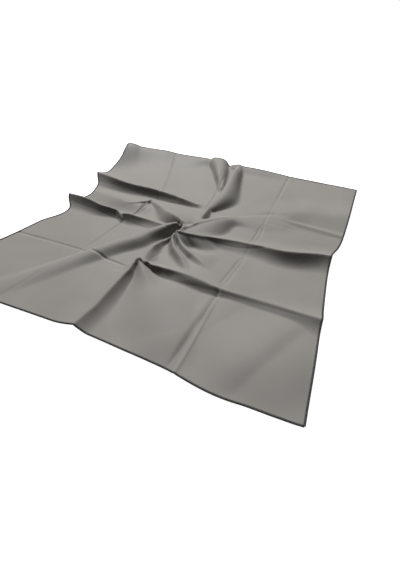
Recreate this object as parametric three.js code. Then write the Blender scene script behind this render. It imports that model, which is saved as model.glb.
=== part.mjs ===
import * as THREE from 'three';

// Silk scarf: a hemmed square of silk twill, laid on a flat surface and pinched
// at its middle, so that pleats and soft folds run from there to its edges.
// Frame: origin under the middle of the outline, +X to the right along the near
// edge, +Y away to the far edge, +Z up. Millimetres.

// Cloth
const CUT_SIDE = 650;
const CLOTH_WALL = 1.6;
const SILK_GREY = 0x8f8d87;

// Rolled hem along each edge
const HEM_RADIUS = 1.5;
const HEM_FACETS = 6;
const HEM_GAP = 0.3;
const HEM_BLACK = 0x1c1b1a;

// Press creases divide the square into four by four panels.
// The far row of panels is deeper than the others.
const PANELS = 4;
const ACROSS_CREASES = [0, 0.25, 0.5, 0.75, 1];
const AWAY_CREASES = [0, 0.246, 0.486, 0.671, 1];

// Facets of each panel, crowded towards the creases where the cloth bends most
const FACETS_PER_PANEL = 12;
const CROWDING = 0.5;

// How far towards the neighbouring facet points the height at each is averaged
const SOFTENING = 0.3;

// How far the folds draw each crease crossing from its flat place, [x, y],
// one row from the near edge to the far edge, left to right in each row
const DRAWN_IN = [
  { row: 'near edge', crossings: [[7, 25], [4, 26], [-4, 27], [-14, 18], [-14, 13]] },
  { row: 'near crease', crossings: [[60, 25], [46, 24], [8, 13], [-12, 10], [-21, 9]] },
  { row: 'middle crease', crossings: [[83, 0], [62, -19], [30, -25], [-4, -19], [-29, 7]] },
  { row: 'far crease', crossings: [[80, -14], [80, -31], [36, -34], [-2, -37], [-17, -33]] },
  { row: 'far edge', crossings: [[49, -43], [8, -8], [-2, -15], [-4, -17], [-10, -28]] },
];

// Slow waves of the edges: each swings one edge outward around a place along it
const EDGE_WAVES = [
  { edge: 'near', centre: 3.4, reach: 0.5, outward: 8 },
  { edge: 'near', centre: 3.85, reach: 0.3, outward: 4 },
  { edge: 'left', centre: 1.7, reach: 0.38, outward: -14 },
  { edge: 'left', centre: 2.12, reach: 0.25, outward: 11 },
  { edge: 'left', centre: 2.58, reach: 0.4, outward: -10 },
  { edge: 'left', centre: 3.14, reach: 0.2, outward: 12 },
  { edge: 'left', centre: 3.4, reach: 0.38, outward: 9 },
];

// Folds. Each runs along a line of rows [across, away, height, right, left]:
// the place in panels from the left and the near edge, the height of its crest,
// and how far its two flanks spread. Fullness 0 is a sharp pleat, 2 a round one.
const FOLDS = [
  { name: 'far pleat', fullness: -0.15, rows: [
    [0, 3.13, 17, 38, 60], [0.14, 3.09, 17.5, 34, 54], [0.3, 3.04, 18, 28, 50],
    [0.54, 3.03, 16.5, 23, 45], [0.9, 3.07, 14, 19, 40], [1.23, 3.08, 11, 19, 34],
    [1.5, 3.06, 8, 18, 28], [1.8, 3.04, 3, 12, 24],
  ] },
  { name: 'left pleat', fullness: -0.15, rows: [
    [0, 2.1, 17, 42, 36], [0.12, 2.1, 17, 33, 24], [0.34, 2.08, 17, 28, 18], [0.54, 2.08, 16.5, 24, 16],
    [0.72, 2.12, 15, 20, 16], [0.84, 2.08, 10, 13, 16], [0.9, 2.02, 5, 10, 14],
  ] },
  { name: 'middle pleat', fullness: 0, rows: [
    [0.84, 2, 7, 10, 12], [0.92, 2.06, 13.5, 18, 22], [1.06, 2.11, 15, 24, 24],
    [1.19, 2.13, 14, 25, 26], [1.32, 2.17, 11.5, 23, 26], [1.48, 2.2, 9, 18, 20],
    [1.66, 2.21, 8, 12, 14],
  ] },
  { name: 'right pleat', fullness: -0.1, rows: [
    [1.98, 1.92, 18, 8, 26], [2.1, 1.93, 15, 12, 40], [2.3, 1.98, 13, 21, 56], [2.5, 2.05, 12, 26, 50],
    [2.78, 2.1, 11, 31, 46], [2.95, 2.08, 12, 27, 44], [3.17, 2.02, 15, 27, 48],
    [3.4, 1.92, 18, 29, 52], [3.6, 1.88, 18, 34, 54], [3.85, 1.91, 17, 40, 54], [4, 1.94, 18, 40, 54],
  ] },
  { name: 'near pleat', fullness: -0.1, rows: [
    [1.99, 1.03, 22, 16, 20], [2.06, 1.06, 15, 18, 30], [2.12, 1.09, 12, 20, 46],
    [2.3, 1.1, 10, 20, 50], [2.58, 1.07, 9.5, 20, 50], [2.8, 1.06, 9.5, 19, 50],
    [2.94, 1.01, 9, 16, 50], [3.12, 1.02, 9.5, 19, 50], [3.45, 1.01, 9.5, 22, 50],
    [3.8, 1.01, 10.5, 26, 60], [4, 1, 12, 28, 60],
  ] },
  { name: 'front rib', fullness: 0.1, rows: [
    [1.99, 1.03, 25, 24, 12], [1.97, 0.92, 17, 34, 14], [1.97, 0.75, 14, 50, 18],
    [1.98, 0.5, 12, 56, 21], [1.98, 0.25, 10, 56, 24], [1.97, 0, 9, 50, 26],
  ] },
  { name: 'peak', fullness: 0, rows: [
    [1.99, 1.03, 25, 20, 20], [2.06, 0.94, 18, 30, 30], [2.16, 0.8, 10, 40, 40], [2.3, 0.6, 3, 44, 44],
  ] },
  { name: 'swirl', fullness: 1, rows: [
    [1.92, 2.18, 21, 8, 10], [1.85, 2.14, 20, 10, 13], [1.8, 2.1, 19, 14, 14], [1.7, 1.96, 17, 30, 19],
    [1.61, 1.8, 15, 42, 26], [1.55, 1.64, 13.5, 46, 31], [1.47, 1.48, 13, 46, 32],
    [1.38, 1.33, 11, 44, 32], [1.28, 1.15, 9, 40, 34], [1.19, 0.97, 6, 34, 36], [1.11, 0.81, 4, 32, 38],
    [0.98, 0.5, 1, 30, 38],
  ] },
  { name: 'low swirl', fullness: 0.3, rows: [
    [1.93, 1.88, 10, 5, 5], [1.88, 1.77, 6, 7, 6], [1.83, 1.66, 5, 10, 9], [1.83, 1.52, 6, 14, 12],
    [1.84, 1.42, 7, 16, 16], [1.87, 1.33, 6.5, 18, 20], [1.91, 1.25, 5.5, 18, 22],
    [1.96, 1.18, 4, 16, 20], [2, 1.1, 1.5, 14, 16],
  ] },
  { name: 'first fan fold', fullness: 0.3, rows: [
    [1.95, 1.88, 16, 6, 6], [2, 1.76, 15, 9, 8], [2.12, 1.6, 12.5, 14, 10], [2.23, 1.5, 11, 16, 12],
    [2.31, 1.43, 10, 17, 14], [2.38, 1.37, 9, 17, 15], [2.44, 1.31, 8, 17, 16], [2.51, 1.25, 6, 16, 16],
    [2.58, 1.18, 3, 14, 14],
  ] },
  { name: 'second fan fold', fullness: 0.4, rows: [
    [1.98, 1.9, 16, 5, 8], [2.06, 1.81, 13, 6, 14], [2.22, 1.67, 11, 8, 26], [2.36, 1.57, 10.5, 11, 40],
    [2.48, 1.52, 10, 12, 50], [2.56, 1.46, 9.5, 13, 54], [2.65, 1.41, 8.5, 14, 54],
    [2.73, 1.36, 7, 15, 50], [2.84, 1.31, 5, 15, 46],
  ] },
  { name: 'upper swirl', fullness: 1.2, rows: [
    [2, 1.99, 17, 40, 10], [2.05, 2.1, 16.5, 64, 18], [2.09, 2.22, 16.5, 76, 24],
    [2.16, 2.4, 17, 70, 26], [2.29, 2.63, 16.5, 50, 26], [2.43, 2.82, 14, 38, 24],
    [2.56, 2.93, 10.5, 36, 20], [2.71, 2.98, 7.5, 36, 18], [2.87, 3.01, 5, 30, 14],
    [3.01, 3.04, 3, 24, 12],
  ] },
  { name: 'diagonal', fullness: 0.5, rows: [
    [0.94, 2.9, 4, 8, 10], [1.21, 2.75, 9, 15, 22], [1.48, 2.55, 14, 24, 40], [1.67, 2.42, 17, 22, 44],
    [1.84, 2.29, 19, 15, 40], [1.96, 2.13, 21, 9, 26], [2.02, 1.98, 19, 8, 14],
  ] },
  { name: 'inner fold', fullness: 0.6, rows: [
    [2, 3.03, 7, 8, 8], [2.02, 2.92, 10, 10, 10], [2.03, 2.78, 12, 12, 14], [2.05, 2.6, 13, 13, 16],
    [2.08, 2.42, 15, 13, 15], [2.08, 2.26, 15, 12, 14],
  ] },
  { name: 'back fold', fullness: 2.5, rows: [
    [1.83, 4, 17, 46, 34], [1.86, 3.92, 17.5, 28, 28], [1.9, 3.82, 17.5, 21, 25],
    [1.93, 3.74, 16.5, 18, 22], [1.96, 3.67, 14, 16, 19], [2, 3.59, 10, 13, 15],
    [2.05, 3.48, 4, 12, 10],
  ] },
  { name: 'back pleat', fullness: 1, rows: [
    [2.18, 4, 8, 9, 11], [2.18, 3.9, 14, 9, 17], [2.18, 3.76, 22, 9, 22], [2.19, 3.64, 24, 10, 26],
    [2.19, 3.53, 24, 11, 30], [2.19, 3.43, 23, 12, 36], [2.18, 3.35, 21.5, 12, 43],
    [2.16, 3.27, 19, 12, 48], [2.12, 3.18, 15.5, 12, 48], [2.08, 3.09, 11, 12, 38],
    [2.03, 3.01, 6, 10, 22],
  ] },
  { name: 'back edge', fullness: 1, rows: [
    [2.15, 4, 7, 24, 20], [2.35, 4, 6.5, 30, 20], [2.6, 4, 5, 34, 20], [3, 4, 1, 30, 20],
  ] },
  { name: 'side band', fullness: 0.3, rows: [
    [2.83, 3.05, 2, 4, 12], [3.02, 3.07, 3.5, 5, 16], [3.27, 3.06, 4.5, 5, 20],
    [3.45, 3.02, 4.5, 5, 23], [3.62, 3.02, 4.5, 5, 26], [3.79, 3, 4, 5, 26], [4, 3, 3.5, 5, 26],
  ] },
  { name: 'side swell', fullness: 0.5, rows: [
    [3.05, 3.25, 3, 40, 60], [3.25, 3.3, 8, 50, 90], [3.52, 3.4, 9.5, 66, 90], [3.7, 3.41, 9, 70, 90],
    [3.9, 3.46, 7, 70, 90], [4, 3.5, 6, 70, 90],
  ] },
  { name: 'far corner', fullness: 0.4, rows: [
    [0, 3.93, 30, 112, 200], [0.06, 3.97, 30, 112, 200], [0.15, 3.98, 27.5, 110, 150],
    [0.27, 3.99, 22, 105, 60], [0.45, 4, 18, 100, 40], [0.67, 4, 14, 95, 40], [0.82, 4, 12, 90, 40],
    [1, 4, 8.5, 85, 40], [1.16, 4, 7, 80, 40], [1.35, 4, 7.5, 70, 40], [1.5, 4, 9, 56, 30],
    [1.64, 4, 10, 40, 30],
  ] },
  { name: 'left swell', fullness: 0.5, rows: [
    [0, 2.7, 2, 30, 30], [0.3, 2.62, 5, 44, 34], [0.6, 2.58, 6.5, 46, 34], [0.85, 2.6, 6, 44, 34],
    [1.1, 2.62, 3, 36, 30],
  ] },
  { name: 'middle swell', fullness: 0.6, rows: [
    [2.2, 1.16, 6, 20, 80], [2.4, 1.14, 9, 20, 110], [2.7, 1.1, 11.5, 20, 124], [3, 1.04, 12, 20, 128],
    [3.3, 1.03, 11.5, 20, 128], [3.6, 1.02, 9, 20, 110], [3.85, 1.01, 5, 20, 90],
  ] },
  { name: 'near left swell', fullness: 1.2, rows: [
    [2.25, 0.8, 4, 60, 60], [2.6, 0.5, 6, 80, 80], [2.75, 0.3, 5, 60, 70],
  ] },
  { name: 'near right swell', fullness: 1.2, rows: [
    [3.2, 0.7, 4, 70, 70], [3.55, 0.52, 9, 95, 90], [3.7, 0.45, 7, 80, 80],
  ] },
];

// Dents, with the same rows, their heights being depths below the folds
const DENTS = [
  { name: 'front valley', fullness: 0.4, rows: [
    [3, 1, 1, 10, 3], [3, 0.6, 3, 12, 3], [3, 0.3, 5, 14, 3], [3, 0, 5, 13, 4],
  ] },
  { name: 'centre hollow', fullness: 0.4, rows: [
    [1.7, 2.2, 2, 5, 5], [1.86, 2.2, 8, 6, 6], [1.93, 2.12, 12, 6, 6], [1.98, 2.03, 6, 5, 5],
  ] },
];

const LINE_STEPS = 12;
const CREST_ROUNDING = 0.07;
const BLENDING_POWER = 4;

// A smooth curve through the values of a list, read at a place along it
function alongCurve(values, place) {
  const last = values.length - 1;
  const step = Math.min(Math.max(Math.floor(place), 0), last - 1);
  const t = Math.min(Math.max(place - step, 0), 1);
  const b = values[step];
  const c = values[step + 1];
  const a = step > 0 ? values[step - 1] : 2 * b - c;
  const d = step + 1 < last ? values[step + 2] : 2 * c - b;
  const bend = (2 * a - 5 * b + 4 * c - d) * t * t + (3 * b - a - 3 * c + d) * t * t * t;
  return 0.5 * (2 * b + (c - a) * t + bend);
}

// Where the crease crossings lie on the surface
const CROSSINGS = DRAWN_IN.map(({ crossings }, j) => crossings.map(([drawX, drawY], i) => ({
  x: (ACROSS_CREASES[i] - 0.5) * CUT_SIDE + drawX,
  y: (AWAY_CREASES[j] - 0.5) * CUT_SIDE + drawY,
})));

// How far an edge wave moves a spot, fading to nothing one panel in from the edge
function swing({ centre, reach, outward }, place, inward) {
  const bell = Math.max(1 - ((place - centre) / reach) ** 2, 0) ** 2;
  return outward * bell * Math.max(1 - inward, 0) ** 2;
}

// Where a spot of the cloth, in panels across and away, lies on the surface
function laidPlace(across, away) {
  const rowX = CROSSINGS.map((row) => alongCurve(row.map((crossing) => crossing.x), across));
  const rowY = CROSSINGS.map((row) => alongCurve(row.map((crossing) => crossing.y), across));
  const spot = new THREE.Vector2(alongCurve(rowX, away), alongCurve(rowY, away));
  for (const wave of EDGE_WAVES) {
    if (wave.edge === 'near') {
      spot.y -= swing(wave, across, away);
    } else {
      spot.x -= swing(wave, away, across);
    }
  }
  return spot;
}

// A fold's line as short straight stretches on the surface
function foldLine({ fullness, rows }) {
  const column = (index, place) => alongCurve(rows.map((row) => row[index]), place);
  const points = [];
  for (let step = 0; step <= (rows.length - 1) * LINE_STEPS; step += 1) {
    const place = step / LINE_STEPS;
    points.push({
      at: laidPlace(column(0, place), column(1, place)),
      height: Math.max(column(2, place), 0),
      right: column(3, place),
      left: column(4, place),
    });
  }
  return { fullness, points };
}
const FOLD_LINES = FOLDS.map(foldLine);
const DENT_LINES = DENTS.map(foldLine);

// Cross-section of a fold: 1 at its crest, 0 where its flank reaches the surface
function flank(share, fullness) {
  const rounded = Math.hypot(share, CREST_ROUNDING) - CREST_ROUNDING;
  const reach = Math.min(rounded / (Math.hypot(1, CREST_ROUNDING) - CREST_ROUNDING), 1);
  return (1 - reach ** (1 + fullness)) ** 2;
}

// Height that one fold gives to a spot on the surface
function foldHeight({ fullness, points }, spot) {
  let nearest = Infinity;
  let height = 0;
  for (let k = 0; k + 1 < points.length; k += 1) {
    const start = points[k];
    const end = points[k + 1];
    const run = end.at.clone().sub(start.at);
    const share = spot.clone().sub(start.at).dot(run) / run.lengthSq();
    const t = Math.min(Math.max(share, 0), 1);
    const offset = spot.clone().sub(start.at).addScaledVector(run, -t);
    const distance = offset.length();
    if (distance < nearest) {
      nearest = distance;
      const side = run.cross(offset) / (run.length() * Math.max(distance, 1e-6));
      const leftness = (1 + side) / 2;
      const right = THREE.MathUtils.lerp(start.right, end.right, t);
      const left = THREE.MathUtils.lerp(start.left, end.left, t);
      const spread = THREE.MathUtils.lerp(right, left, leftness);
      const crest = THREE.MathUtils.lerp(start.height, end.height, t);
      height = crest * flank(distance / spread, fullness);
    }
  }
  return height;
}

// Underside of the cloth: the folds merge softly, the dents press them down, and
// the cloth rests at zero between them
function undersideHeight(spot) {
  const total = FOLD_LINES.reduce((sum, line) => sum + foldHeight(line, spot) ** BLENDING_POWER, 0);
  const depth = DENT_LINES.reduce((sum, line) => sum + foldHeight(line, spot), 0);
  return Math.max(total ** (1 / BLENDING_POWER) - depth, 0);
}

// Places of the facet lines, in panels, crowded towards the creases
const FACETS = PANELS * FACETS_PER_PANEL;
const FACET_PLACES = Array.from({ length: FACETS + 1 }, (_, index) => {
  const place = index / FACETS_PER_PANEL;
  return place - (CROWDING / (2 * Math.PI)) * Math.sin(2 * Math.PI * place);
});

// Height at a facet point as the mean of four spots around it, so that a fold
// narrower than a facet is softened rather than cut off
function facetHeight(row, column) {
  const beside = (index, side) => {
    const neighbour = Math.min(Math.max(index + side, 0), FACETS);
    return THREE.MathUtils.lerp(FACET_PLACES[index], FACET_PLACES[neighbour], SOFTENING);
  };
  const corners = [[-1, -1], [-1, 1], [1, -1], [1, 1]];
  const heights = corners.map(([sideways, onward]) => (
    undersideHeight(laidPlace(beside(column, sideways), beside(row, onward)))
  ));
  return heights.reduce((sum, height) => sum + height, 0) / heights.length;
}

// The underside as a grid of points, rows from the near edge to the far edge
const UNDERSIDE = FACET_PLACES.map((away, row) => FACET_PLACES.map((across, column) => {
  const spot = laidPlace(across, away);
  return new THREE.Vector3(spot.x, spot.y, facetHeight(row, column));
}));

// Upright thickness at a grid point, so that a slope keeps the same wall
function uprightWall(row, column) {
  const { min, max } = Math;
  const across = UNDERSIDE[row][min(column + 1, FACETS)].clone().sub(UNDERSIDE[row][max(column - 1, 0)]);
  const away = UNDERSIDE[min(row + 1, FACETS)][column].clone().sub(UNDERSIDE[max(row - 1, 0)][column]);
  return CLOTH_WALL / across.cross(away).normalize().z;
}

// A closed body from corner points and faces of three or four corners
function closedBody(corners, faces) {
  const triangles = [];
  for (const [a, b, c, d] of faces) {
    triangles.push(a, b, c);
    if (d !== undefined) {
      triangles.push(a, c, d);
    }
  }
  const coordinates = corners.flatMap((corner) => corner.toArray());
  const geometry = new THREE.BufferGeometry();
  geometry.setAttribute('position', new THREE.Float32BufferAttribute(coordinates, 3));
  geometry.setIndex(triangles);
  return geometry;
}

// Silk panel: two grids of points, one above the other, closed along the edges
function silkPanel() {
  const width = FACETS + 1;
  const bottom = (row, column) => row * width + column;
  const top = (row, column) => width * width + bottom(row, column);
  const upper = UNDERSIDE.map((points, row) => points.map((point, column) => (
    point.clone().setZ(point.z + uprightWall(row, column))
  )));
  const faces = [];
  for (let row = 0; row < FACETS; row += 1) {
    for (let column = 0; column < FACETS; column += 1) {
      const cell = [[row, column], [row, column + 1], [row + 1, column + 1], [row + 1, column]];
      faces.push(cell.map((spot) => top(...spot)));
      faces.push(cell.map((spot) => bottom(...spot)).reverse());
    }
  }
  for (let step = 0; step < FACETS; step += 1) {
    const next = step + 1;
    faces.push([bottom(0, step), bottom(0, next), top(0, next), top(0, step)]);
    faces.push([bottom(step, FACETS), bottom(next, FACETS), top(next, FACETS), top(step, FACETS)]);
    faces.push([bottom(FACETS, next), bottom(FACETS, step), top(FACETS, step), top(FACETS, next)]);
    faces.push([bottom(next, 0), bottom(step, 0), top(step, 0), top(next, 0)]);
  }
  return closedBody([...UNDERSIDE.flat(), ...upper.flat()], faces);
}

// Edges of the panel, run anticlockwise seen from above, so that outside is on the right
const EDGES = {
  near: UNDERSIDE[0],
  right: UNDERSIDE.map((row) => row[FACETS]),
  far: [...UNDERSIDE[FACETS]].reverse(),
  left: UNDERSIDE.map((row) => row[0]).reverse(),
};
const flatRun = (from, to) => new THREE.Vector2(to.x - from.x, to.y - from.y).normalize();
const startRun = (edge) => flatRun(edge[0], edge[1]);
const endRun = (edge) => flatRun(edge[edge.length - 2], edge[edge.length - 1]);

// Hem: a bead along one edge, just outside the cloth. Its ends are cut along the
// neighbouring edges, and a long hem runs on past them to close the corners.
function hem(edge, before, after, runsOn) {
  const last = edge.length - 1;
  const reach = 2 * HEM_RADIUS + HEM_GAP;
  const stations = edge.map((point, index) => {
    const run = flatRun(edge[Math.max(index - 1, 0)], edge[Math.min(index + 1, last)]);
    const outward = new THREE.Vector2(run.y, -run.x);
    return { point: point.clone(), outward };
  });
  const cuts = [
    { station: stations[0], run: startRun(edge), along: endRun(before), ahead: -1 },
    { station: stations[last], run: endRun(edge), along: startRun(after).negate(), ahead: 1 },
  ];
  for (const { station, run, along, ahead } of cuts) {
    const corner = Math.abs(run.cross(along));
    if (runsOn) {
      station.point.x += (ahead * reach * run.x) / corner;
      station.point.y += (ahead * reach * run.y) / corner;
      station.outward.set(run.y, -run.x);
    } else {
      station.outward.copy(along).divideScalar(corner);
    }
  }
  const corners = [];
  const faces = [];
  const halfHeight = HEM_RADIUS * Math.sin(Math.PI / 3);
  stations.forEach(({ point, outward }, index) => {
    for (let facet = 0; facet < HEM_FACETS; facet += 1) {
      const angle = (facet / HEM_FACETS) * 2 * Math.PI;
      const out = HEM_GAP + HEM_RADIUS * (1 + Math.cos(angle));
      const up = halfHeight + HEM_RADIUS * Math.sin(angle);
      corners.push(new THREE.Vector3(point.x + outward.x * out, point.y + outward.y * out, point.z + up));
      if (index < last) {
        const here = index * HEM_FACETS;
        const next = (facet + 1) % HEM_FACETS;
        faces.push([here + next, here + facet, here + HEM_FACETS + facet, here + HEM_FACETS + next]);
      }
    }
  });
  for (let facet = 1; facet + 1 < HEM_FACETS; facet += 1) {
    const end = last * HEM_FACETS;
    faces.push([0, facet, facet + 1]);
    faces.push([end, end + facet + 1, end + facet]);
  }
  return closedBody(corners, faces);
}

const silk = new THREE.MeshStandardMaterial({ color: SILK_GREY, roughness: 0.5, metalness: 0 });
const thread = new THREE.MeshStandardMaterial({ color: HEM_BLACK, roughness: 0.7, metalness: 0 });
const PIECES = [
  { name: 'silk_panel', geometry: silkPanel(), material: silk },
  { name: 'hem_near', geometry: hem(EDGES.near, EDGES.left, EDGES.right, true), material: thread },
  { name: 'hem_right', geometry: hem(EDGES.right, EDGES.near, EDGES.far, false), material: thread },
  { name: 'hem_far', geometry: hem(EDGES.far, EDGES.right, EDGES.left, true), material: thread },
  { name: 'hem_left', geometry: hem(EDGES.left, EDGES.far, EDGES.near, false), material: thread },
];

// The whole scarf, moved so that the origin is under the middle of its outline
const scarf = new THREE.Group();
for (const { name, geometry, material } of PIECES) {
  const mesh = new THREE.Mesh(geometry, material);
  mesh.name = name;
  scarf.add(mesh);
}
const middle = new THREE.Box3().setFromObject(scarf).getCenter(new THREE.Vector3());
for (const { geometry } of PIECES) {
  geometry.translate(-middle.x, -middle.y, 0);
}

export default scarf;
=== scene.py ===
import math

import bpy
import numpy as np
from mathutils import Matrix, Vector


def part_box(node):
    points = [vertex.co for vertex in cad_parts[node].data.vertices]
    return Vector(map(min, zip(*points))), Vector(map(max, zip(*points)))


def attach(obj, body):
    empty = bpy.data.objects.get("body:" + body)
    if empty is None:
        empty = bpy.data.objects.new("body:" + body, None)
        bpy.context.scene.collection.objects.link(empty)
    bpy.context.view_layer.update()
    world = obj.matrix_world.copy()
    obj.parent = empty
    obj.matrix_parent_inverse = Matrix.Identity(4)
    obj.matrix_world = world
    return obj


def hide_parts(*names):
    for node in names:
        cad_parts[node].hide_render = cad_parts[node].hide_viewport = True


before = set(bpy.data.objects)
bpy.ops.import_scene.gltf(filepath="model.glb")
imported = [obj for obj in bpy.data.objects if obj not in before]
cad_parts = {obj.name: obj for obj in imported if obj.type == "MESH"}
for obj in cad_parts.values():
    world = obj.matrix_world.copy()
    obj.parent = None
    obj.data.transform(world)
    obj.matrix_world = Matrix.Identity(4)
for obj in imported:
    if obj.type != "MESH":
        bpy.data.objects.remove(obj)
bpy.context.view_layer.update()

MM = 0.001

# Silk scarf: a hemmed square of silk twill, laid on a flat surface and pinched
# at its middle, so that pleats and soft folds run from there to its edges.
# Lengths here are in millimetres and meshes are written in metres.

# Cloth
CUT_SIDE = 650
CLOTH_THICKNESS = 0.3
CLOTH_LIFT = 0.05

# Rolled hem, bound all round by thread. The roll's middle stands out from the cloth's
# edge by a share of its radius, and the stitches lean a little unevenly, in radians.
ROLL_RADIUS = 1.05
THREAD_RADIUS = 0.33
THREAD_WIDTH = 0.4
ROLL_STANDS_OUT = 0.7
ROLL_SIDES = 10
LOOP_STEPS = 14
THREAD_SIDES = 6
STITCH_PITCH = 1.3
STITCH_LEAN = 0.35
LEAN_VARIATION = 0.12
STITCH_SEED = 7

# Press creases divide the square into four by four panels, the far row deeper
PANELS = 4
ACROSS_CREASES = [0, 0.25, 0.5, 0.75, 1]
AWAY_CREASES = [0, 0.246, 0.486, 0.671, 1]
CELLS_PER_PANEL = 54
CROWDING = 0.35

# How far the folds draw each crease crossing from its flat place, as (x, y),
# a row for each crease from the near edge to the far edge, left to right in each
DRAWN_IN = {
    "near edge": [(7, 25), (4, 26), (-4, 27), (-14, 18), (-14, 13)],
    "near crease": [(60, 25), (46, 24), (8, 13), (-12, 10), (-21, 9)],
    "middle crease": [(83, 0), (62, -19), (30, -25), (-4, -19), (-29, 7)],
    "far crease": [(80, -14), (80, -31), (36, -34), (-2, -37), (-17, -33)],
    "far edge": [(49, -43), (8, -8), (-2, -15), (-4, -17), (-10, -28)],
}

# Slow waves of the near and left edges: edge, place along it and reach in panels,
# and outward swing
EDGE_WAVES = [
    ("near", 3.4, 0.5, 8),
    ("near", 3.85, 0.3, 4),
    ("left", 1.7, 0.38, -14),
    ("left", 2.12, 0.25, 11),
    ("left", 2.58, 0.4, -10),
    ("left", 3.14, 0.2, 12),
    ("left", 3.4, 0.38, 9),
]

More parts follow.
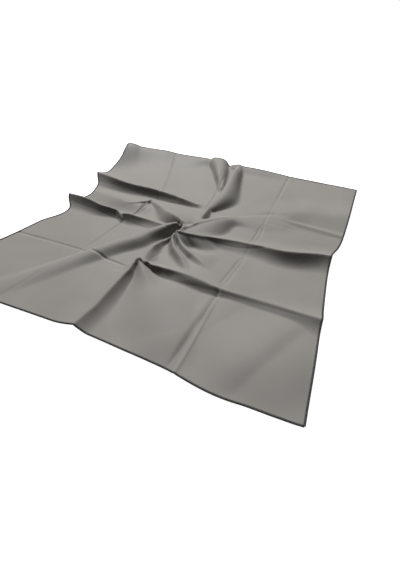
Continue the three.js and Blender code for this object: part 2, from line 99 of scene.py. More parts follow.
# Folds: name, fullness (below 0 the sharpest pleats, above 2 the roundest fold) and the
# rows of its line, from one end to the other.
# A row is (across, away, height, right, left): the place in panels from the left
# and the near edge, the height of the crest, and how far the two flanks spread.
FOLDS = [
    ("far pleat", -0.15, [
        (0, 3.13, 17, 38, 60), (0.14, 3.1, 18.5, 34, 54), (0.3, 3.06, 19.5, 29, 50),
        (0.54, 3.05, 18, 24, 45), (0.9, 3.08, 16.5, 19, 40), (1.23, 3.08, 13.5, 18, 34),
        (1.5, 3.06, 10.5, 16, 28), (1.8, 3.05, 5, 11, 24)]),
    ("left pleat", -0.15, [
        (0, 2.1, 17, 42, 36), (0.12, 2.11, 19, 34, 24), (0.34, 2.11, 19.5, 29, 18),
        (0.54, 2.08, 17, 24, 16), (0.72, 2.11, 15, 19, 16), (0.82, 2.12, 13.5, 17, 16),
        (0.91, 2.06, 10.5, 12, 14), (0.96, 2.01, 6, 9, 10)]),
    ("middle pleat", 0, [
        (0.89, 2.1, 9, 9, 12), (0.97, 2.09, 13, 17, 22), (1.06, 2.11, 14.5, 22, 24),
        (1.19, 2.13, 12.5, 22, 24), (1.32, 2.17, 9.5, 22, 22), (1.48, 2.19, 6.5, 20, 18),
        (1.66, 2.2, 5, 14, 12)]),
    ("right pleat", -0.1, [
        (1.98, 1.92, 18, 7, 26), (2.1, 1.93, 15.5, 10, 40), (2.3, 1.98, 13.5, 14, 56),
        (2.5, 2.05, 12.5, 19, 50), (2.78, 2.1, 11, 27, 46), (2.95, 2.08, 12, 27, 44),
        (3.17, 2.02, 15, 27, 48), (3.4, 1.93, 18, 29, 52), (3.6, 1.91, 18.5, 30, 54),
        (3.85, 1.95, 17, 33, 54), (4, 1.94, 18, 38, 54)]),
    ("near pleat", -0.1, [
        (1.952, 1.085, 18.5, 8, 20), (2.01, 1.09, 16.3, 9, 20), (2.08, 1.088, 14.8, 10, 21),
        (2.15, 1.08, 13.8, 12, 24), (2.22, 1.09, 12.7, 14, 27), (2.3, 1.1, 11.5, 17, 30),
        (2.42, 1.11, 10.3, 15, 35), (2.52, 1.1, 9.8, 14, 40), (2.63, 1.09, 9.3, 14, 44),
        (2.74, 1.07, 9, 14, 48), (2.83, 1.055, 8.7, 14, 50), (2.94, 1.035, 8.5, 13, 50),
        (3.12, 1.03, 7.5, 17, 50), (3.45, 1.04, 7, 18, 50), (3.8, 1.02, 8.5, 24, 60),
        (4, 1, 12, 28, 60)]),
    ("front rib", 0, [
        (1.94, 1.065, 18.3, 20, 12), (1.952, 0.97, 16.3, 32, 14), (1.97, 0.89, 15.2, 40, 16),
        (1.975, 0.8, 14.8, 46, 18), (1.985, 0.67, 14.6, 50, 20), (1.995, 0.52, 14.3, 54, 22),
        (2, 0.4, 13.5, 56, 23), (2.005, 0.28, 12.5, 56, 24), (1.995, 0.15, 11.5, 54, 25),
        (1.98, 0, 10, 50, 26)]),
    ("peak", 0.5, [
        (1.965, 1.07, 16, 10, 14), (2.02, 1.02, 14.5, 15, 20), (2.08, 0.97, 13.2, 21, 25),
        (2.16, 0.905, 11.5, 29, 26), (2.26, 0.825, 8.5, 38, 30), (2.38, 0.735, 5, 46, 36),
        (2.5, 0.65, 2.5, 50, 40)]),
    ("swirl", 1.2, [
        (1.92, 2.18, 21, 8, 10), (1.85, 2.14, 20, 12, 13), (1.8, 2.1, 19, 17, 14),
        (1.7, 1.955, 16.5, 24, 17), (1.61, 1.793, 14.3, 24, 22), (1.55, 1.633, 12.8, 23, 26),
        (1.47, 1.473, 12.5, 22, 26), (1.38, 1.323, 11.6, 20, 26), (1.28, 1.145, 10.5, 19, 27),
        (1.19, 0.96, 8.5, 18, 27), (1.11, 0.795, 6.5, 19, 27), (0.98, 0.48, 4, 22, 28),
        (0.85, 0.17, 2, 24, 28)]),
    ("low swirl", 0.3, [
        (1.93, 1.88, 10, 5, 5), (1.89, 1.77, 7, 6, 7), (1.87, 1.66, 9, 8, 9),
        (1.875, 1.56, 11.5, 9, 12), (1.885, 1.47, 12, 10, 14), (1.905, 1.39, 10.5, 10, 16),
        (1.94, 1.32, 7.5, 11, 18), (1.98, 1.265, 4.5, 12, 18), (2.02, 1.22, 2, 12, 16)]),
    ("first fan fold", 0.3, [
        (1.95, 1.88, 16, 6, 6), (2, 1.76, 15, 9, 8), (2.12, 1.6, 14, 12, 11),
        (2.23, 1.5, 13.5, 14, 13), (2.31, 1.43, 13, 15, 15), (2.375, 1.37, 12, 16, 17),
        (2.43, 1.31, 11, 16, 18), (2.49, 1.25, 9.5, 15, 18), (2.54, 1.18, 7, 14, 16)]),
    ("second fan fold", 0.4, [
        (1.98, 1.9, 16, 5, 7), (2.06, 1.81, 13.5, 6, 9), (2.21, 1.67, 12, 8, 15),
        (2.345, 1.575, 11.5, 10, 25), (2.43, 1.53, 11, 11, 36), (2.51, 1.475, 10.5, 12, 52),
        (2.59, 1.425, 10, 13, 54), (2.67, 1.375, 8.5, 14, 50), (2.77, 1.33, 5.5, 15, 46)]),
    ("upper swirl", 1.5, [
        (2, 1.99, 17, 40, 10), (2.05, 2.1, 16.5, 64, 18), (2.09, 2.22, 16.5, 74, 24),
        (2.16, 2.4, 17, 66, 26), (2.29, 2.63, 16, 44, 26), (2.41, 2.8, 12.5, 28, 22),
        (2.5, 2.89, 8.5, 24, 18), (2.6, 2.95, 5.5, 30, 16), (2.75, 3.03, 4, 50, 14),
        (2.92, 3.1, 3.5, 56, 12), (3.15, 3.14, 2.5, 50, 12)]),
    ("upper swirl crest", 0.3, [
        (2.02, 2.02, 13, 9, 9), (2.06, 2.12, 14, 10, 10), (2.1, 2.24, 14.5, 10, 10),
        (2.16, 2.4, 14.5, 10, 10), (2.29, 2.63, 13, 10, 10), (2.43, 2.82, 8, 10, 10)]),
    ("diagonal", 0.5, [
        (0.94, 2.9, 4, 8, 10), (1.21, 2.75, 9, 15, 22), (1.48, 2.55, 14, 24, 40),
        (1.67, 2.42, 17, 22, 44), (1.84, 2.29, 19, 15, 40), (1.96, 2.13, 21, 9, 26),
        (2.02, 1.98, 19, 8, 14)]),
    ("diagonal crest", 0.3, [
        (0.97, 2.91, 4, 6, 8), (1.05, 2.86, 5, 7, 9), (1.2, 2.76, 6, 8, 9),
        (1.36, 2.65, 7, 9, 9), (1.48, 2.55, 11, 9, 9), (1.67, 2.42, 14.5, 9, 9),
        (1.84, 2.29, 17, 9, 9), (1.96, 2.13, 18, 8, 8)]),
    ("inner fold", 0.6, [
        (2.02, 3.03, 7, 8, 8), (2.04, 2.92, 11, 10, 9), (2.05, 2.78, 13.5, 12, 11),
        (2.06, 2.6, 14, 13, 13), (2.08, 2.42, 15, 13, 14), (2.08, 2.26, 15, 12, 14)]),
    ("back fold", 2.5, [
        (1.84, 4, 17, 30, 34), (1.87, 3.92, 17.5, 24, 28), (1.91, 3.82, 17.5, 19, 25),
        (1.94, 3.74, 17, 16, 22), (1.97, 3.66, 15, 13, 19), (2.01, 3.58, 11, 10, 15),
        (2.05, 3.48, 5, 10, 10)]),
    ("back pleat", 1.8, [
        (2.19, 4, 8, 9, 11), (2.2, 3.9, 14, 8, 16), (2.2, 3.76, 22, 7, 20),
        (2.2, 3.64, 24, 8, 23), (2.2, 3.53, 24, 9, 27), (2.19, 3.43, 23, 10, 32),
        (2.18, 3.35, 21.5, 11, 36), (2.16, 3.27, 19, 11, 38), (2.12, 3.18, 15.5, 11, 32),
        (2.08, 3.09, 11, 11, 21), (2.03, 3.01, 6, 10, 12)]),
    ("back edge", 1, [
        (2.15, 4, 7, 24, 20), (2.35, 4, 6.5, 30, 20), (2.6, 4, 5, 34, 20), (3, 4, 1, 30, 20)]),
    ("side band", 0.3, [
        (3.02, 3.12, 2, 8, 10), (3.25, 3.13, 3, 11, 12), (3.45, 3.11, 3.4, 12, 14),
        (3.62, 3.09, 3.2, 12, 16), (3.79, 3.07, 3, 12, 18), (4, 3.04, 2.5, 12, 18)]),
    ("side swell", 0.5, [
        (3.05, 3.22, 3, 40, 60), (3.25, 3.26, 6, 44, 80), (3.52, 3.34, 7.5, 56, 80),
        (3.7, 3.35, 7, 60, 80), (3.9, 3.4, 5.5, 62, 80), (4, 3.44, 5, 62, 80)]),
    ("far corner", 0.4, [
        (0, 3.985, 30, 112, 200), (0.06, 3.985, 30, 112, 200), (0.15, 3.985, 27.5, 110, 150),
        (0.27, 3.99, 22, 105, 60), (0.45, 4, 18, 100, 40), (0.67, 4, 14, 95, 40),
        (0.82, 4, 12, 90, 40), (1, 4, 8.5, 85, 40), (1.16, 4, 7, 80, 40),
        (1.35, 4, 7.5, 70, 40), (1.5, 4, 9, 56, 30), (1.64, 4, 10, 40, 30)]),
    ("left swell", 0.5, [
        (0, 2.7, 2, 30, 30), (0.3, 2.64, 6, 40, 34), (0.6, 2.62, 9, 38, 34),
        (0.82, 2.64, 7, 36, 34), (0.98, 2.68, 4, 30, 28), (1.1, 2.72, 1, 22, 22)]),
    ("left fine fold", 0.3, [
        (0.62, 2.49, 2, 8, 12), (0.69, 2.55, 5, 7, 12), (0.76, 2.61, 8, 7, 12),
        (0.82, 2.69, 9, 6, 13), (0.87, 2.76, 8.5, 6, 14), (0.91, 2.83, 7, 6, 14),
        (0.94, 2.9, 4, 6, 12)]),
    ("middle swell", 0.6, [
        (2.35, 1.13, 4, 16, 60), (2.5, 1.1, 7.5, 15, 90), (2.7, 1.07, 9.5, 15, 112),
        (3, 1.04, 8, 16, 112), (3.3, 1.04, 6.5, 18, 112), (3.6, 1.03, 5.5, 20, 100),
        (3.85, 1.01, 4, 20, 90)]),
    ("near left swell", 0.8, [
        (2.06, 0.98, 8, 14, 14), (2.13, 0.9, 8.5, 22, 24), (2.27, 0.76, 8, 42, 44),
        (2.5, 0.55, 7.5, 66, 76), (2.75, 0.3, 5, 60, 70)]),
    ("near right swell", 1.2, [
        (3.2, 0.7, 4, 70, 70), (3.55, 0.52, 9, 95, 90), (3.7, 0.45, 7, 80, 80)]),
]

# Dents: name, fullness and rows of (across, away, depth, right, left)
DENTS = [
    ("front valley", 0.4, [
        (3, 1, 1, 10, 3), (3, 0.6, 3, 12, 3), (3, 0.3, 5, 14, 3), (3, 0, 5, 13, 4)]),
    ("side groove", 0.4, [
        (2.3, 2.94, 1.2, 8, 7), (2.45, 2.99, 1.7, 12, 9), (2.62, 3.05, 1.6, 14, 9),
        (2.8, 3.12, 1.6, 14, 9), (2.92, 3.16, 1.5, 14, 9), (3.07, 3.2, 1.4, 12, 9),
        (3.23, 3.21, 0.8, 10, 8)]),
    ("centre hollow", 0.4, [
        (1.7, 2.2, 2, 5, 5), (1.86, 2.2, 8, 6, 6), (1.93, 2.12, 12, 6, 6),
        (1.98, 2.03, 6, 5, 5)]),
]

# Steps from row to row of a fold's line, how blunt a crest is as a share of its flank,
# and how sharply folds that meet stay apart
LINE_STEPS = 16
CREST_ROUNDING = 0.035
BLENDING_POWER = 4

# Press creases: a faint groove along each, and the stretches where it is sharper.
# A stretch is (the way its crease runs, the crease's number, start and end in panels,
# sideways shift at its start and at its end, depth). A depth below zero is a ridge.
# Stretches fade in and out.
CREASE_DEPTH = 0.4
CREASE_WIDTH = 2.2
FADING_IN = 6
SHARP_STRETCHES = [
    ("across", 1, -0.2, 1.1, 0, 0, 1.6),
    ("across", 1, 1.1, 1.95, 0, 0, 1.4),
    ("across", 3, 0.9, 1.9, 0, 0, 0.9),
    ("away", 1, 0.95, 2.05, 0, 0, 1.8),
    ("away", 1, 2.15, 2.75, -6, -15, -2.2),
    ("away", 1, 2.6, 3, -15, -9, -2.2),
    ("away", 1, 2.9, 4.1, 2, 2, 0.9),
    ("away", 2, 2.1, 3.1, -3, -5, 1.3),
    ("away", 2, 3, 3.7, -6, 9, 1.6),
    ("away", 3, 1.05, 1.8, -4, -4, 0.9),
    ("away", 3, 1.05, 1.8, 4, 4, 0.9),
    ("away", 3, 2.1, 2.95, -4.5, -4.5, 1),
    ("away", 3, 2.1, 2.95, 4.5, 4.5, 1),
    ("away", 3, 3.5, 4.1, 0, 0, 0.8),
    ("away", 3, -0.2, 1, 3, 3, -1.6),
]

# Slow unevenness of cloth that has been unfolded. Each row is a share of the height and
# two waves that are multiplied, each as (turn per panel across, per panel away, start).
RIPPLE_LEVEL = 0.8
RIPPLE_HEIGHT = 1.3
RIPPLES = [
    (0.7, (2.1, 1.3, 0.7), (-0.9, 1.7, 1.9)),
    (0.3, (5.3, -3.1, 0.4), (2.3, 4.7, 2.2)),
]

# Silk: its tone changes slowly, over about a tenth of a metre, and its diagonal twill ribs
# lie about half a millimetre apart. TWILL_RELIEF is in metres.
SILK_DARKER = (0.196, 0.188, 0.174, 1)
SILK_LIGHTER = (0.216, 0.208, 0.193, 1)
SILK_ROUGHNESS = 0.5
SILK_GLOSS = 0.03
TONE_SCALE = 9
TONE_DETAIL = 4
TONE_RANGE = (0.3, 0.7)
TWILL_SCALE = 900
TWILL_UNEVENNESS = 1.5
TWILL_RELIEF = 0.0001
TWILL_STRENGTH = 0.15

# Hem thread and floor finishes
THREAD_COLOUR = (0.012, 0.012, 0.011, 1)
THREAD_ROUGHNESS = 0.6
FLOOR_COLOUR = (0.4, 0.4, 0.4, 1)
FLOOR_ROUGHNESS = 0.9

# Camera: its lens as the focal length in pixels of a frame FRAME_HEIGHT pixels high, its
# bearing and height in degrees, and how far it stands from the spot that it looks at
FOCAL_PIXELS = 350
FRAME_HEIGHT = 570
SENSOR = 36
CAMERA_AZIMUTH = 23.2
CAMERA_ELEVATION = 41.2
CAMERA_DISTANCE = 556.2
CAMERA_TARGET = (115.3, -143.9, 0)

# Light and floor. LIGHT_SIZE and FLOOR_SIZE are in metres, LIGHT_POWER in watts.
LIGHT_AZIMUTH = 210
LIGHT_ELEVATION = 45
LIGHT_DISTANCE = 6000
LIGHT_SIZE = 2.2
LIGHT_POWER = 705
SKY_STRENGTH = 0.05
FLOOR_GLOW = 1
FLOOR_SIZE = 40
FLOOR_DROP = 0.3
WHITE = (1, 1, 1, 1)


# Laying the cloth

def curve_between(a, b, c, d, t):
    """The spot a share t of the way from b to c, on the smooth curve through all four."""
    bend = (2 * a - 5 * b + 4 * c - d) * t**2 + (3 * b - a - 3 * c + d) * t**3
    return 0.5 * (2 * b + (c - a) * t + bend)


def with_ends(values):
    """Rows of values with one more row before and after, carried on straight."""
    before = 2 * values[:1] - values[1:2]
    after = 2 * values[-1:] - values[-2:-1]
    return np.concatenate([before, values, after])


def along_curve(values, place):
    """A smooth curve through the rows of values, read at each place along it."""
    values = np.asarray(values, float)
    place = np.asarray(place, float)
    padded = with_ends(values)
    step = np.clip(np.floor(place).astype(int), 0, len(values) - 2)
    t = np.clip(place - step, 0, 1)
    if values.ndim > 1:
        t = t[..., None]
    return curve_between(*(padded[step + k] for k in range(4)), t)


def crease_crossings():
    """Where the crease crossings lie, as rows of (x, y) from the near edge."""
    rows = []
    for away, drawn in zip(AWAY_CREASES, DRAWN_IN.values()):
        flat = [((across - 0.5) * CUT_SIDE, (away - 0.5) * CUT_SIDE)
                for across in ACROSS_CREASES]
        rows.append(np.array(flat) + np.array(drawn))
    return np.array(rows)


CROSSINGS = crease_crossings()


def swing(place, inward, centre, reach, outward):
    """How far an edge wave moves a spot, fading to nothing one panel in from the edge."""
    bell = np.maximum(1 - ((place - centre) / reach)**2, 0)**2
    return outward * bell * np.maximum(1 - inward, 0)**2


def laid_place(across, away):
    """Where spots of the cloth, in panels across and away, lie on the surface."""
    across, away = np.broadcast_arrays(np.asarray(across, float), np.asarray(away, float))
    shape = across.shape
    across = across.ravel()
    away = away.ravel()
    rows = np.stack([along_curve(row, across) for row in CROSSINGS])
    padded = with_ends(rows)
    step = np.clip(np.floor(away).astype(int), 0, PANELS - 1)
    t = (away - step)[:, None]
    spots = np.arange(len(across))
    laid = curve_between(*(padded[step + k, spots] for k in range(4)), t)
    for edge, centre, reach, outward in EDGE_WAVES:
        if edge == "near":
            laid[:, 1] -= swing(across, away, centre, reach, outward)
        else:
            laid[:, 0] -= swing(away, across, centre, reach, outward)
    return laid.reshape(shape + (2,))


def flank(share, fullness):
    """Cross-section of a fold: 1 at its crest, 0 where it meets the surface."""
    rounded = np.hypot(share, CREST_ROUNDING) - CREST_ROUNDING
    reach = np.minimum(rounded / (math.hypot(1, CREST_ROUNDING) - CREST_ROUNDING), 1)
    return (1 - reach**(1 + fullness))**2


def fold_height(spots, fullness, rows):
    """Height that one fold gives to spots on the surface."""
    places = np.linspace(0, len(rows) - 1, (len(rows) - 1) * LINE_STEPS + 1)
    across, away, height, right, left = along_curve(rows, places).T
    line = laid_place(across, away)
    height = np.maximum(height, 0)
    nearest = np.full(spots.shape[:-1], np.inf)
    result = np.zeros(spots.shape[:-1])
    for k in range(len(line) - 1):
        run = line[k + 1] - line[k]
        length = math.hypot(*run)
        share = np.clip((spots - line[k]) @ run / length**2, 0, 1)
        offset = spots - line[k] - share[..., None] * run
        distance = np.hypot(offset[..., 0], offset[..., 1])
        turn = run[0] * offset[..., 1] - run[1] * offset[..., 0]
        side = turn / (length * np.maximum(distance, 1e-6))
        leftness = (1 + np.clip(side, -1, 1)) / 2
        spread_right = right[k] + (right[k + 1] - right[k]) * share
        spread_left = left[k] + (left[k + 1] - left[k]) * share
        spread = spread_right + (spread_left - spread_right) * leftness
        crest = height[k] + (height[k + 1] - height[k]) * share
        closer = distance < nearest
        nearest = np.where(closer, distance, nearest)
        result = np.where(closer, crest * flank(distance / spread, fullness), result)
    return result


def folds_height(spots):
    """All folds together: they merge softly, and the cloth rests at zero between them."""
    total = sum(fold_height(spots, fullness, rows)**BLENDING_POWER
                for _, fullness, rows in FOLDS)
    height = total**(1 / BLENDING_POWER)
    for _, fullness, rows in DENTS:
        height -= fold_height(spots, fullness, rows)
    return np.maximum(height, 0)


def cell_places(cells_per_panel):
    """Places of the mesh lines, in panels, crowded towards the creases."""
    place = np.arange(PANELS * cells_per_panel + 1) / cells_per_panel
    return place - CROWDING / (2 * math.pi) * np.sin(2 * math.pi * place)


def crease_relief(across, away):
    """The fine grooves and ridges along the press creases."""
    panel = CUT_SIDE / PANELS
    stretches = [(way, crease, -1, PANELS + 1, 0, 0, CREASE_DEPTH)
                 for way in ("across", "away") for crease in (1, 2, 3)]
    relief = np.zeros(across.shape)
    for way, crease, start, end, first_shift, last_shift, depth in stretches + SHARP_STRETCHES:
        place, along = (away, across) if way == "across" else (across, away)
        share = np.clip((along - start) / (end - start), 0, 1)
        sideways = first_shift + (last_shift - first_shift) * share
        distance = (place - crease) * panel - sideways
        strength = depth * np.minimum(FADING_IN * share * (1 - share), 1)
        relief = relief - strength * np.exp(-(distance / CREASE_WIDTH)**2)
    return relief


def ripples(across, away):
    """Slow, slight waves of cloth that lies loosely."""
    total = 0
    for share, *waves in RIPPLES:
        product = 1
        for per_across, per_away, start in waves:
            product = product * np.sin(per_across * across + per_away * away + start)
        total = total + share * product**2
    return RIPPLE_LEVEL + RIPPLE_HEIGHT * total


def laid_cloth():
    """The cloth's underside as a grid, each point's place in panels, and the shift.

    The shift moves the whole cloth so that its left and near sides meet the solid's.
    """
    places = cell_places(CELLS_PER_PANEL)
    across, away = np.meshgrid(places, places)
    spots = laid_place(across, away)
    height = folds_height(spots)
    height = np.maximum(height + crease_relief(across, away) + ripples(across, away), 0)
    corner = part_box("silk_panel")[0]
    shift = np.array([corner[axis] / MM - spots[..., axis].min() for axis in range(2)])
    grid = np.dstack([spots + shift, height + CLOTH_LIFT])
    return grid, across, away, shift


# Meshes

def grid_faces(rows, columns, first=0, flipped=False):
    """Faces of a grid of points, facing up, or down when flipped."""
    index = first + np.arange(rows * columns).reshape(rows, columns)
    corners = [index[:-1, :-1], index[:-1, 1:], index[1:, 1:], index[1:, :-1]]
    if flipped:
        corners.reverse()
    return np.stack([corner.ravel() for corner in corners], axis=-1)


def new_object(name, points, faces, material):
    """A smooth mesh object from points in millimetres."""
    mesh = bpy.data.meshes.new(name)
    corners = [list(map(int, face)) for face in faces]
    mesh.from_pydata((np.asarray(points) * MM).tolist(), [], corners)
    mesh.update()
    mesh.polygons.foreach_set("use_smooth", [True] * len(mesh.polygons))
    mesh.materials.append(material)
    piece = bpy.data.objects.new(name, mesh)
    bpy.context.scene.collection.objects.link(piece)
    return piece


def grid_normals(grid):
    """Upward unit normals of a grid of points."""
    across = np.gradient(grid, axis=1)
    away = np.gradient(grid, axis=0)
    normals = np.cross(across, away)
    return normals / np.linalg.norm(normals, axis=-1, keepdims=True)


def silk_square(grid, across, away, material):
    """The silk: two grids of points a cloth's thickness apart, closed at the edges."""
    rows, columns = grid.shape[:2]
    upper = grid + grid_normals(grid) * CLOTH_THICKNESS
    count = rows * columns
    faces = [grid_faces(rows, columns, count), grid_faces(rows, columns, 0, True)]
    index = np.arange(count).reshape(rows, columns)
    rim = np.concatenate([index[0, :], index[1:, -1], index[-1, -2::-1], index[-2::-1, 0]])
    faces.append(np.stack([rim[:-1], rim[1:], rim[1:] + count, rim[:-1] + count], axis=-1))
    points = np.concatenate([grid.reshape(-1, 3), upper.reshape(-1, 3)])
    piece = new_object("silk_square", points, np.concatenate(faces), material)
    place = np.stack([across.ravel(), away.ravel()], axis=-1) / PANELS
    place = np.concatenate([place, place])
    layer = piece.data.uv_layers.new(name="cloth")
    corner_points = np.empty(len(piece.data.loops), dtype=int)
    piece.data.loops.foreach_get("vertex_index", corner_points)
    layer.data.foreach_set("uv", place[corner_points].ravel())
    return piece


# Materials

def new_material(name):
    """A material and its shader."""
    material = bpy.data.materials.new(name)
    material.use_nodes = True
    return material, material.node_tree.nodes["Principled BSDF"]


def silk_finish():
    """Grey silk twill, nearly matt: fine diagonal ribs and slow changes of tone."""
    material, shader = new_material("grey silk twill")
    nodes = material.node_tree.nodes
    links = material.node_tree.links
    shader.inputs["Roughness"].default_value = SILK_ROUGHNESS
    shader.inputs["Specular IOR Level"].default_value = SILK_GLOSS

    cloth_place = nodes.new("ShaderNodeUVMap")
    cloth_place.uv_map = "cloth"
    mapping = nodes.new("ShaderNodeMapping")
    mapping.inputs["Scale"].default_value = (CUT_SIDE * MM, CUT_SIDE * MM, 1)
    links.new(cloth_place.outputs["UV"], mapping.inputs["Vector"])

    mottle = nodes.new("ShaderNodeTexNoise")
    mottle.inputs["Scale"].default_value = TONE_SCALE
    mottle.inputs["Detail"].default_value = TONE_DETAIL
    links.new(mapping.outputs["Vector"], mottle.inputs["Vector"])
    tone = nodes.new("ShaderNodeValToRGB")
    for end, place, colour in zip(tone.color_ramp.elements, TONE_RANGE,
                                  (SILK_DARKER, SILK_LIGHTER)):
        end.position = place
        end.color = colour
    links.new(mottle.outputs["Fac"], tone.inputs["Fac"])
    links.new(tone.outputs["Color"], shader.inputs["Base Color"])

    ribs = nodes.new("ShaderNodeTexWave")
    ribs.bands_direction = "DIAGONAL"
    ribs.inputs["Scale"].default_value = TWILL_SCALE
    ribs.inputs["Distortion"].default_value = TWILL_UNEVENNESS
    links.new(mapping.outputs["Vector"], ribs.inputs["Vector"])
    bump = nodes.new("ShaderNodeBump")
    bump.inputs["Strength"].default_value = TWILL_STRENGTH
    bump.inputs["Distance"].default_value = TWILL_RELIEF
    links.new(ribs.outputs["Fac"], bump.inputs["Height"])
    links.new(bump.outputs["Normal"], shader.inputs["Normal"])
    return material


def thread_finish():
    """Black hem thread."""
    material, shader = new_material("black hem thread")
    shader.inputs["Base Color"].default_value = THREAD_COLOUR
    shader.inputs["Roughness"].default_value = THREAD_ROUGHNESS
    return material


def floor_finish():
    """Plain pale floor, a little lit from within so that it stays even."""
    material, shader = new_material("pale floor")
    shader.inputs["Base Color"].default_value = FLOOR_COLOUR
    shader.inputs["Emission Color"].default_value = WHITE
    shader.inputs["Emission Strength"].default_value = FLOOR_GLOW
    shader.inputs["Roughness"].default_value = FLOOR_ROUGHNESS
    shader.inputs["Specular IOR Level"].default_value = 0
    return material


# Camera, light and floor

def direction(azimuth, elevation):
    """Unit vector towards a viewer or a light."""
    azimuth = math.radians(azimuth)
    elevation = math.radians(elevation)
    level = math.cos(elevation)
    return Vector((math.sin(azimuth) * level, -math.cos(azimuth) * level, math.sin(elevation)))


def add_camera(shift):
    """The camera, moved with the cloth."""
    data = bpy.data.cameras.new("camera")
    data.sensor_width = SENSOR
    data.lens = FOCAL_PIXELS / FRAME_HEIGHT * SENSOR
    camera = bpy.data.objects.new("camera", data)
    bpy.context.scene.collection.objects.link(camera)
    back = direction(CAMERA_AZIMUTH, CAMERA_ELEVATION)
    target = Vector(CAMERA_TARGET) + Vector((*shift, 0))
    camera.location = (target + back * CAMERA_DISTANCE) * MM
    camera.rotation_euler = back.to_track_quat("Z", "Y").to_euler()
    bpy.context.scene.camera = camera


def add_light():
    """One large soft light, a faint even sky and plain display colours."""
    data = bpy.data.lights.new("soft light", "AREA")
    data.shape = "DISK"
    data.size = LIGHT_SIZE
    data.energy = LIGHT_POWER
    light = bpy.data.objects.new("soft light", data)
    bpy.context.scene.collection.objects.link(light)
    towards = direction(LIGHT_AZIMUTH, LIGHT_ELEVATION)
    light.location = towards * LIGHT_DISTANCE * MM
    light.rotation_euler = towards.to_track_quat("Z", "Y").to_euler()
    world = bpy.data.worlds.new("studio")
    world.use_nodes = True
    sky = world.node_tree.nodes["Background"]
    sky.inputs["Color"].default_value = WHITE
    sky.inputs["Strength"].default_value = SKY_STRENGTH
    bpy.context.scene.world = world
    bpy.context.scene.view_settings.view_transform = "Standard"


def add_floor():
    """The floor that the scarf lies on."""
    half = FLOOR_SIZE / MM / 2
    corners = [(-half, -half), (half, -half), (half, half), (-half, half)]
    points = [(x, y, -FLOOR_DROP) for x, y in corners]
    new_object("floor", points, [(0, 1, 2, 3)], floor_finish())


# The scarf

def hem_line(edge):
    """The middle of the rolled hem, just outside an edge of the cloth."""
    run = np.gradient(edge, axis=0)
    outward = np.cross(run, (0, 0, 1.0))
    outward /= np.linalg.norm(outward, axis=-1, keepdims=True)
    line = edge + outward * ROLL_STANDS_OUT * ROLL_RADIUS
    line[:, 2] = np.maximum(line[:, 2] + CLOTH_THICKNESS / 2, ROLL_RADIUS + THREAD_RADIUS)
    return line


def new_node(group, kind, **inputs):
    """A node of the hem's node group, with some of its inputs linked or set."""
    node = group.nodes.new(kind)
    for name, value in inputs.items():
        socket = node.inputs[name.replace("_", " ")]
        if isinstance(value, bpy.types.NodeSocket):
            group.links.new(value, socket)
        else:
            socket.default_value = value
    return node


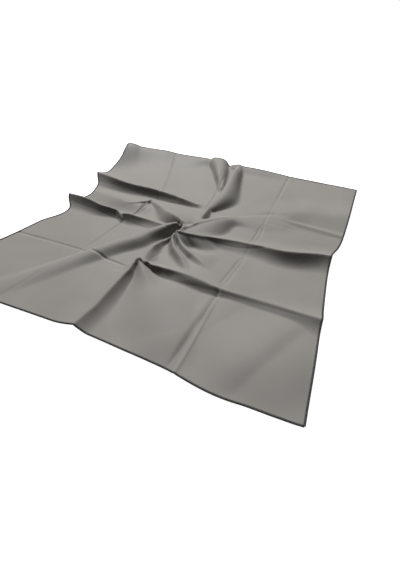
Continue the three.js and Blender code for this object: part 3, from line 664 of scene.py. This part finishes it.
def stitched_hem_nodes():
    """Nodes that turn a line into a roll of cloth bound by leaning stitches.

    Returns the node group and its named inputs.
    """
    group = bpy.data.node_groups.new("stitched hem", "GeometryNodeTree")
    sockets = {}
    inputs = {
        "Line": "Geometry",
        "Roll Radius": "Float",
        "Thread Radius": "Float",
        "Stitch Pitch": "Float",
        "Least Lean": "Vector",
        "Most Lean": "Vector",
        "Seed": "Int",
        "Thread": "Material",
    }
    for name, kind in inputs.items():
        sockets[name] = group.interface.new_socket(
            name, in_out="INPUT", socket_type="NodeSocket" + kind)
    group.interface.new_socket("Hem", in_out="OUTPUT", socket_type="NodeSocketGeometry")
    given = group.nodes.new("NodeGroupInput").outputs

    line = new_node(group, "GeometryNodeMeshToCurve", Mesh=given["Line"])
    stitch_line = new_node(group, "GeometryNodeResampleCurve", Curve=line.outputs["Curve"])
    stitch_line.mode = "LENGTH"
    group.links.new(given["Stitch Pitch"], stitch_line.inputs["Length"])
    section = new_node(group, "GeometryNodeCurvePrimitiveCircle",
                       Resolution=ROLL_SIDES, Radius=given["Roll Radius"])
    roll = new_node(group, "GeometryNodeCurveToMesh", Curve=stitch_line.outputs["Curve"])
    group.links.new(section.outputs["Curve"], roll.inputs["Profile Curve"])
    roll.inputs["Fill Caps"].default_value = True

    loop = new_node(group, "GeometryNodeCurvePrimitiveCircle",
                    Resolution=LOOP_STEPS, Radius=given["Roll Radius"])
    thread_section = new_node(group, "GeometryNodeCurvePrimitiveCircle",
                              Resolution=THREAD_SIDES, Radius=given["Thread Radius"])
    stitch = new_node(group, "GeometryNodeCurveToMesh", Curve=loop.outputs["Curve"])
    group.links.new(thread_section.outputs["Curve"], stitch.inputs["Profile Curve"])
    stretched = new_node(group, "GeometryNodeTransform", Geometry=stitch.outputs["Mesh"])
    stretched.inputs["Scale"].default_value = (1, 1, THREAD_WIDTH / THREAD_RADIUS)

    tangent = group.nodes.new("GeometryNodeInputTangent")
    along = new_node(group, "FunctionNodeAlignRotationToVector", Vector=tangent.outputs["Tangent"])
    along.axis = "Z"
    lean = group.nodes.new("FunctionNodeRandomValue")
    lean.data_type = "FLOAT_VECTOR"
    group.links.new(given["Least Lean"], lean.inputs[0])
    group.links.new(given["Most Lean"], lean.inputs[1])
    group.links.new(given["Seed"], lean.inputs["Seed"])
    turn = new_node(group, "FunctionNodeEulerToRotation", Euler=lean.outputs[0])
    leaning = new_node(group, "FunctionNodeRotateRotation", Rotation=along.outputs["Rotation"])
    leaning.rotation_space = "LOCAL"
    group.links.new(turn.outputs["Rotation"], leaning.inputs["Rotate By"])
    stitches = new_node(group, "GeometryNodeInstanceOnPoints",
                        Points=stitch_line.outputs["Curve"],
                        Instance=stretched.outputs["Geometry"],
                        Rotation=leaning.outputs["Rotation"])

    joined = group.nodes.new("GeometryNodeJoinGeometry")
    group.links.new(roll.outputs["Mesh"], joined.inputs["Geometry"])
    group.links.new(stitches.outputs["Instances"], joined.inputs["Geometry"])
    real = new_node(group, "GeometryNodeRealizeInstances", Geometry=joined.outputs["Geometry"])
    dyed = new_node(group, "GeometryNodeSetMaterial",
                    Geometry=real.outputs["Geometry"], Material=given["Thread"])
    result = group.nodes.new("NodeGroupOutput")
    group.links.new(dyed.outputs["Geometry"], result.inputs["Hem"])
    return group, sockets


def stitched_hem(name, edge, nodes, material):
    """One edge's hem as a plain mesh."""
    group, sockets = nodes
    line = hem_line(edge) * MM
    mesh = bpy.data.meshes.new(name + "_line")
    mesh.from_pydata(line.tolist(), [(k, k + 1) for k in range(len(line) - 1)], [])
    source = bpy.data.objects.new(name + "_line", mesh)
    bpy.context.scene.collection.objects.link(source)
    modifier = source.modifiers.new("hem", "NODES")
    modifier.node_group = group
    settings = {
        "Roll Radius": ROLL_RADIUS * MM,
        "Thread Radius": THREAD_RADIUS * MM,
        "Stitch Pitch": STITCH_PITCH * MM,
        "Least Lean": (STITCH_LEAN - LEAN_VARIATION, 0.0, 0.0),
        "Most Lean": (STITCH_LEAN + LEAN_VARIATION, 0.0, 0.0),
        "Seed": STITCH_SEED,
        "Thread": material,
    }
    for label, value in settings.items():
        modifier[sockets[label].identifier] = value
    bpy.context.view_layer.update()
    evaluated = source.evaluated_get(bpy.context.evaluated_depsgraph_get())
    hem = bpy.data.meshes.new_from_object(evaluated)
    source.modifiers.remove(modifier)
    bpy.data.objects.remove(source)
    hem.name = name
    hem.polygons.foreach_set("use_smooth", [True] * len(hem.polygons))
    piece = bpy.data.objects.new(name, hem)
    bpy.context.scene.collection.objects.link(piece)
    return piece


def build():
    """The whole scene: the laid silk, its four hems, the camera, light and floor."""
    grid, across, away, shift = laid_cloth()
    add_camera(shift)
    add_light()
    add_floor()
    silk = silk_square(grid, across, away, silk_finish())
    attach(silk, "root")
    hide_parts("silk_panel")
    thread = thread_finish()
    edges = {
        "near": grid[0],
        "right": grid[:, -1],
        "far": grid[-1, ::-1],
        "left": grid[::-1, 0],
    }
    nodes = stitched_hem_nodes()
    for name, edge in edges.items():
        piece = stitched_hem("rolled_hem_" + name, edge, nodes, thread)
        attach(piece, "root")
        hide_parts("hem_" + name)


build()
